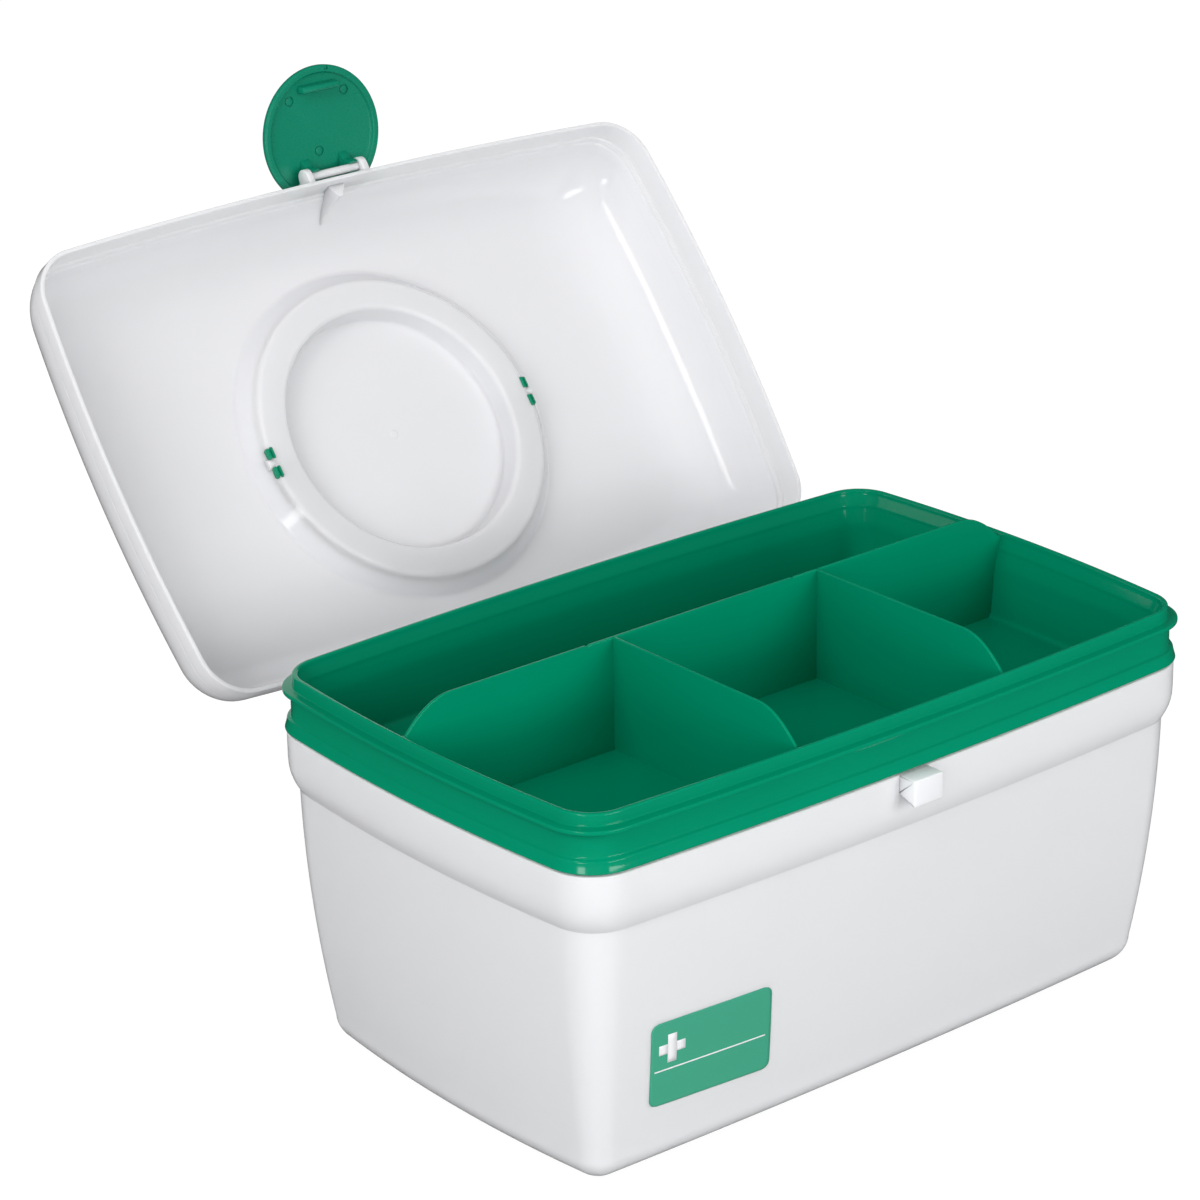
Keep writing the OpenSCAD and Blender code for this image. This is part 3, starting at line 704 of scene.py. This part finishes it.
def build_hooks():
    """C-shaped hooks round the lid's bars, with two ridges each: an arc of radius r over
    the bar, a flat underside and the bore, where r follows the ridges along X."""
    ridges = ((55.9, 5.3), (56.0, 5.9), (56.2, 6.15), (56.7, 6.15), (56.85, 5.9), (56.95, 5.3),
              (57.25, 5.2), (57.4, 5.7), (57.6, 5.95), (58.0, 5.8), (58.3, 5.5), (58.5, 5.0))
    lip = MOUTH * BAR_R
    rings = []
    for x, r in ridges:
        # the underside rises where r is smaller
        base = HOOK_BASE_Z + HOOK_R - r
        below = math.degrees(math.asin((PIVOT_Z - base) / r))
        loop = np.concatenate([
            arc(RING_Y, PIVOT_Z, r, -below, 180 + below, 50),
            [(RING_Y - lip - 0.5, base), (RING_Y - lip, base + 0.3)],
            bore(RING_Y, PIVOT_Z, BAR_R, 270),
            [(RING_Y + lip, base + 0.3), (RING_Y + lip + 0.5, base)]])
        rings.append(np.column_stack([np.full(len(loop), x), loop]))
    rings = np.array(rings)
    hooks = [skin("handle_hook_%s" % NAME[side], rings * [side, 1, 1], with_lid) for side in (-1, 1)]
    hooks[0].data.flip_normals()
    return hooks


def build_latch():
    """Round dish with a raised rim, a snap rib, ejector marks and two clips. The dish is a
    profile of (radius, depth behind the face) turned about the latch's middle."""
    y, z = LATCH_AXIS
    r = LATCH_R
    face = y - LATCH_FACE
    middle_z = z - LATCH_DROP
    profile = rounded([(0.5, 1.2), (r - 3.0, 1.2), (r - 2.5, 0), (r - 0.5, 0), (r, 0.5), (r, 2.0),
                       (r - 2.4, 3.3), (r - 9, 3.7), (0.5, 3.9)], [0.5, 0.3, 0.3, 0.3, 0.8, 1.5, 4], 5)
    angle = np.linspace(0, 2 * np.pi, 144, endpoint=False)
    x = profile[:, 0][:, None] * np.cos(angle)
    up = profile[:, 0][:, None] * np.sin(angle)
    depth = np.broadcast_to(face - profile[:, 1][:, None], x.shape)
    dish = skin("latch_disc", np.dstack([x, depth, middle_z + up]))
    # the flat top edge meets the lid's wall when the latch is fully open
    swing = math.radians(LATCH_OPEN)
    flat = (-y - HALF_Y - LID_OUT + GAP + LATCH_FACE * math.cos(swing)) / math.sin(swing)
    cutters = [box("latch_trim", (-r - 1, face - 6, z + flat), (r + 1, face + 2, z + flat + r)),
               box("rim_nick", (3.6, face - 0.7, middle_z - r - 1), (5.2, face + 1, middle_z - r + 2.2))]
    cutters += [drum("ejector_mark", px, middle_z + pz, face - 1.7, face + 1, MARK_R)
                for px, pz in EJECTOR_MARKS]
    subtract(dish, cutters)
    place_mesh(dish, with_latch)
    out = [dish]
    pad = rounded([(0.1, 1.3), (PAD_R, 1.3), (PAD_R, 1.9), (0.1, 1.9)], [0.2, 0.05], 3)
    turn = np.linspace(0, 2 * np.pi, 32, endpoint=False)
    for i, (px, pz) in enumerate(EJECTOR_MARKS):
        rings = np.dstack([px + pad[:, 0][:, None] * np.cos(turn),
                           np.broadcast_to(face - pad[:, 1][:, None], (len(pad), len(turn))),
                           middle_z + pz + pad[:, 0][:, None] * np.sin(turn)])
        out.append(skin("ejector_pad_%d" % i, rings, with_latch))
    rib = loop_rounded([(face - 2, 104.6), (face + 1.9, 104.6), (face + 2.7, 103.7), (face + 2.2, 102.2),
                        (face - 2, 101.8)], [0.05, 0.6, 0.5, 0.7, 0.05])
    out.append(prism("latch_rib", rib, -RIB_HALF, RIB_HALF, edge=0.5, place=with_latch))
    clip = np.concatenate([[(face - 2, z - 5.6), (face - 1.1, z - 5.4), (face + 1.2, z - 3.2)],
                           arc(y, z, CLIP_R, 275, 302, 8), bore(y, z, LATCH_BAR_R, 0, CLIP_MOUTH),
                           arc(y, z, CLIP_R, 58, 90, 8), [(face - 2, z + 4)]])
    for side in (-1, 1):
        x = side * CLIP_X
        out.append(prism("latch_clip_%s" % NAME[side], clip, x - CLIP_HALF, x + CLIP_HALF,
                         edge=0.12, place=with_latch))
    return out


def on_front_wall(a, b, lift):
    """Points `lift` off the tub's front wall at a, b millimetres from the sticker's lower
    left corner. X and Z are blended from the sticker's four corners, and Y is that of the
    wall's arc at that height, c + sqrt(r^2 - x^2)."""
    u = (a / STICKER_SIZE[0])[..., None]
    v = (b / STICKER_SIZE[1])[..., None]
    x, z = np.moveaxis(mix(mix(STICKER[0], STICKER[1], u), mix(STICKER[2], STICKER[3], u), v), -1, 0)
    t, step, out = tub_offsets(z)
    bow = mix(FOOT_BOW[1], BOW_LONG, t)
    radius = arc_radius(HALF_X - mix(INSET[0], NECK_IN, t) + out - mix(FOOT_BOW[0], BOW_SHORT, t), bow)
    y = HALF_Y - mix(INSET[1], NECK_IN, t) + out - radius + np.sqrt(radius**2 - x**2)
    return np.stack([x, -y - lift, z], -1)


def sheet(name, shapes, lift):
    """A thin sheet on the front wall. Each shape is a rectangle (a0, b0, a1, b1, corner)
    whose grid rows are pulled in at the corners by r - sqrt(r^2 - (r - e)^2), e from the edge."""
    points = []
    faces = []
    for a0, b0, a1, b1, corner in shapes:
        height = b1 - b0
        columns = max(3, int((a1 - a0) / 1.2))
        rows = np.linspace(0, height, 6)
        if corner:
            rows = np.concatenate([np.linspace(0, corner, 7)[:-1], np.linspace(corner, height - corner, 12),
                                   height - np.linspace(corner, 0, 7)[1:]])
        edge = np.minimum(rows, height - rows)
        inset = corner - np.sqrt(np.maximum(corner**2 - np.maximum(corner - edge, 0) ** 2, 0))
        share = np.linspace(0, 1, columns)[None]
        a = mix((a0 + inset)[:, None], (a1 - inset)[:, None], share)
        b = np.broadcast_to((b0 + rows)[:, None], a.shape)
        j, i = np.meshgrid(np.arange(len(rows) - 1), np.arange(columns - 1), indexing="ij")
        k = sum(len(p) for p in points) + j * columns + i
        faces += np.stack([k, k + 1, k + columns + 1, k + columns], -1).reshape(-1, 4).tolist()
        points.append(on_front_wall(a, b, lift).reshape(-1, 3))
    obj = mesh_object(name, np.concatenate(points), faces)
    thick = obj.modifiers.new("thickness", "SOLIDIFY")
    thick.thickness = (lift + 0.1) * MM
    thick.offset = -1
    return obj


def build_sticker():
    """Green paper, and on it a plain white cross and a thin rule."""
    paper = sheet("sticker_paper", [(0, 0, *STICKER_SIZE, STICKER_CORNER)], PAPER_LIFT)
    x, z, arm, span = 8.6, 21.1, 1.8, 5.3
    cross = [(x - arm, z - span, x + arm, z + span, 0), (x - span, z - arm, x - arm, z + arm, 0),
             (x + arm, z - arm, x + span, z + arm, 0)]
    rule = (1.7, 13.1, 47.2, 13.6, 0)
    return paper, sheet("sticker_print", cross + [rule], PRINT_LIFT)


def linear(colour):
    """sRGB hex to linear RGBA."""
    c = np.array([int(colour[i:i + 2], 16) for i in (1, 3, 5)]) / 255
    c = np.where(c <= 0.04045, c / 12.92, ((c + 0.055) / 1.055) ** 2.4)
    return (*c.tolist(), 1.0)


def node(tree, kind, settings=(), inputs=(), links=()):
    """Adds a node with its settings, input values and links into its inputs."""
    added = tree.nodes.new(kind)
    for key, value in dict(settings).items():
        setattr(added, key, value)
    for key, value in dict(inputs).items():
        added.inputs[key].default_value = value
    for key, source in dict(links).items():
        tree.links.new(source, added.inputs[key])
    return added


def empty_tree(owner):
    """The node tree of a material or world, with nothing in it."""
    owner.use_nodes = True
    owner.node_tree.nodes.clear()
    return owner.node_tree


def plastic(name, colour, deep, roughness, sockets):
    """Injection-moulded plastic or printed paper: a body whose tone drifts between two
    colours, under a surface with the polished mould's shallow flow waves and fine pits."""
    finish = bpy.data.materials.new(name)
    tree = empty_tree(finish)
    place = node(tree, "ShaderNodeTexCoord").outputs["Object"]
    # flow waves about 40 mm long, and pits of about 0.5 mm
    wave = node(tree, "ShaderNodeTexNoise", inputs={"Scale": 25, "Detail": 2, "Roughness": 0.4},
                links={"Vector": place}).outputs["Fac"]
    pits = node(tree, "ShaderNodeTexNoise", inputs={"Scale": 1800, "Detail": 2, "Roughness": 0.6},
                links={"Vector": place}).outputs["Fac"]
    tone = node(tree, "ShaderNodeMix", {"data_type": "RGBA"}, {6: linear(colour), 7: linear(deep)},
                {"Factor": wave})
    gloss = node(tree, "ShaderNodeMapRange",
                 inputs={"From Min": 0.3, "From Max": 0.7,
                         "To Min": roughness * 0.8, "To Max": roughness * 1.2},
                 links={"Value": pits})
    waves = node(tree, "ShaderNodeBump", inputs={"Strength": 0.05, "Distance": 0.0004},
                 links={"Height": wave})
    bump = node(tree, "ShaderNodeBump", inputs={"Strength": 0.02, "Distance": 0.00002},
                links={"Height": pits, "Normal": waves.outputs["Normal"]})
    body = node(tree, "ShaderNodeBsdfPrincipled", inputs=sockets,
                links={"Base Color": tone.outputs[2], "Roughness": gloss.outputs["Result"],
                       "Normal": bump.outputs["Normal"]})
    node(tree, "ShaderNodeOutputMaterial", links={"Surface": body.outputs["BSDF"]})
    return finish


def paint(obj, material, body):
    """Gives a piece its finish and body, with smooth shading up to 32 degrees."""
    obj.data.materials.clear()
    obj.data.materials.append(material)
    obj.data.shade_smooth()
    obj.data.set_sharp_from_angle(angle=math.radians(32))
    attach(obj, body)


# Polypropylene has an IOR of 1.49. The white shells let light in a few millimetres, which
# evens out their shading. The pigmented green is dense, and its skin reflects less.
MILKY = {"IOR": 1.49, "Subsurface Weight": 0.6, "Subsurface Radius": (1.0, 1.0, 1.0),
         "Subsurface Scale": 0.006}
GREEN = {"IOR": 1.49, "Specular IOR Level": 0.45}
# The lid and the tray come from polished moulds and mirror the softboxes, the tub's wall
# mirrors them more softly, and the latch and the handle have a satin skin.
white_pp = plastic("milky_polypropylene_moulded", "#E4E5E8", "#E2E3E6", 0.18, MILKY)
# The lid's copy of the milky plastic is painted a shade darker than the tub's. This is painted shade that
# tones down the stronger light on its inner face.
lid_pp = plastic("milky_polypropylene_lid_shaded", "#DDDDE0", "#DBDBDE", 0.09, MILKY)
green_pp = plastic("green_polypropylene_gloss", "#008764", "#00825F", 0.12, GREEN)
latch_pp = plastic("green_polypropylene_latch", "#0B8064", "#087B5F", 0.3, GREEN)
handle_pp = plastic("green_polypropylene_handle", "#0A8664", "#08815F", 0.26, GREEN)
# Coated label paper is matt beside the plastic and shows no mirror images.
PAPER = {"Specular IOR Level": 0.3}
paper_green = plastic("green_printed_paper", "#3F9F80", "#3B9A7C", 0.45, PAPER)
paper_white = plastic("white_printed_paper", "#E4E4E6", "#E0E0E3", 0.45, PAPER)

finishes = {
    "tub": (white_pp, "white_pp", [build_tub(), build_catch()] + build_hinge_lugs(-1) + build_hinge_lugs(1)),
    "tray": (green_pp, "green_pp", [build_tray()] + build_dividers()),
    "lid": (lid_pp, "lid_pp", [build_lid()] + build_lid_fittings()),
    "latch": (latch_pp, "latch_pp", build_latch()),
    "handle": (handle_pp, "handle_pp", [build_grip()] + build_hooks())}
for body, (material, slot, pieces) in finishes.items():
    for piece in pieces:
        paint(piece, material, body)
    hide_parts(body)
for piece, material in zip(build_sticker(), (paper_green, paper_white)):
    paint(piece, material, "tub")


def camera_matrix():
    """Columns right, up and back of the camera, from azimuth, elevation and roll."""
    back = np.array([math.sin(AZIMUTH) * math.cos(ELEVATION), -math.cos(AZIMUTH) * math.cos(ELEVATION),
                     math.sin(ELEVATION)])
    right = np.array([math.cos(AZIMUTH), math.sin(AZIMUTH), 0])
    up = np.cross(back, right)
    m = np.eye(4)
    m[:3, 0] = math.cos(ROLL) * right + math.sin(ROLL) * up
    m[:3, 1] = math.cos(ROLL) * up - math.sin(ROLL) * right
    m[:3, 2] = back
    m[:3, 3] = CAMERA_AT
    return m


def softbox(name, at, to, size, power, mirrored=False):
    """A rectangular area light at a point, facing another. Gloss shows it if mirrored."""
    light = bpy.data.lights.new(name, "AREA")
    light.shape = "RECTANGLE"
    light.size, light.size_y = size
    light.energy = power
    lamp = bpy.data.objects.new(name, light)
    lamp.location = at
    lamp.rotation_euler = (Vector(to) - Vector(at)).to_track_quat("-Z", "Y").to_euler()
    lamp.visible_glossy = mirrored
    bpy.context.scene.collection.objects.link(lamp)


camera = bpy.data.cameras.new("camera")
camera.lens = LENS
camera.sensor_width = 36
camera.clip_start = 0.05
camera.clip_end = 30
cam = bpy.data.objects.new("camera", camera)
cam.matrix_world = Matrix(camera_matrix().tolist())
bpy.context.scene.collection.objects.link(cam)
bpy.context.scene.camera = cam
bpy.context.scene.view_settings.view_transform = "Standard"

softbox("softbox_left", (-1.5, -0.1, 1.1), (0, 0.05, 0.12), (0.9, 0.9), 12.5)
softbox("softbox_front", (0.5, -2.0, 0.8), (0, 0, 0.12), (1.2, 1.0), 20)
softbox("softbox_high", (-1.1, -0.5, 1.6), (0, 0.05, 0.12), (0.9, 0.9), 6.5)
softbox("softbox_strip", (-1.067, -0.306, 0.922), (0.126, 0.18, 0.163), (0.16, 0.28), 0.62, mirrored=True)
softbox("softbox_corner", (-1.17, -0.62, 0.23), (-0.12, -0.08, 0.118), (0.3, 0.2), 1.1, mirrored=True)
softbox("softbox_low", (0.1, -1.34, 0.26), (-0.08, -0.085, 0.116), (0.75, 0.2), 2.4, mirrored=True)
softbox("softbox_near", (-1.1, -1.25, 0.35), (0, 0.03, 0.14), (0.8, 0.6), 5.5)
softbox("softbox_back", (1.4, 1.6, 0.9), (0, 0.05, 0.12), (1.2, 1.0), 18)

floor_corners = [(x * FLOOR_HALF, y * FLOOR_HALF, FLOOR_Z) for x, y in ((-1, -1), (1, -1), (1, 1), (-1, 1))]
floor_mesh = bpy.data.meshes.new("floor")
floor_mesh.from_pydata(floor_corners, [], [(0, 1, 2, 3)])
floor = bpy.data.objects.new("floor", floor_mesh)
bpy.context.scene.collection.objects.link(floor)

# The camera sees a white backdrop, the object a dimmer room, and gloss a dark one, as
# between the softboxes of a studio.
white = bpy.data.materials.new("white_backdrop")
tree = empty_tree(white)
ray = node(tree, "ShaderNodeLightPath").outputs
tone = node(tree, "ShaderNodeMath", {"operation": "MULTIPLY_ADD"},
            {1: FLOOR_TONE_IN_GLOSS - FLOOR_TONE, 2: FLOOR_TONE}, {0: ray["Is Glossy Ray"]})
share = node(tree, "ShaderNodeMath", {"operation": "MULTIPLY"}, {1: FLOOR_SHARE},
             {0: ray["Is Camera Ray"]})
matt = node(tree, "ShaderNodeBsdfDiffuse", links={"Color": tone.outputs[0]})
lit = node(tree, "ShaderNodeEmission", inputs={"Color": (1, 1, 1, 1), "Strength": FLOOR_GLOW})
both = node(tree, "ShaderNodeMixShader",
            links={0: share.outputs[0], 1: matt.outputs[0], 2: lit.outputs[0]})
node(tree, "ShaderNodeOutputMaterial", links={"Surface": both.outputs[0]})
floor_mesh.materials.append(white)

world = bpy.data.worlds.new("studio")
tree = empty_tree(world)
ray = node(tree, "ShaderNodeLightPath").outputs
dim = node(tree, "ShaderNodeMath", {"operation": "MULTIPLY_ADD"},
           {1: ROOM_IN_GLOSS - ROOM, 2: ROOM}, {0: ray["Is Glossy Ray"]})
level = node(tree, "ShaderNodeMath", {"operation": "MULTIPLY_ADD"},
             {1: BACKDROP - ROOM}, {0: ray["Is Camera Ray"], 2: dim.outputs[0]})
room = node(tree, "ShaderNodeBackground", inputs={"Color": (1, 1, 1, 1)},
            links={"Strength": level.outputs[0]})
node(tree, "ShaderNodeOutputWorld", links={"Surface": room.outputs[0]})
bpy.context.scene.world = world
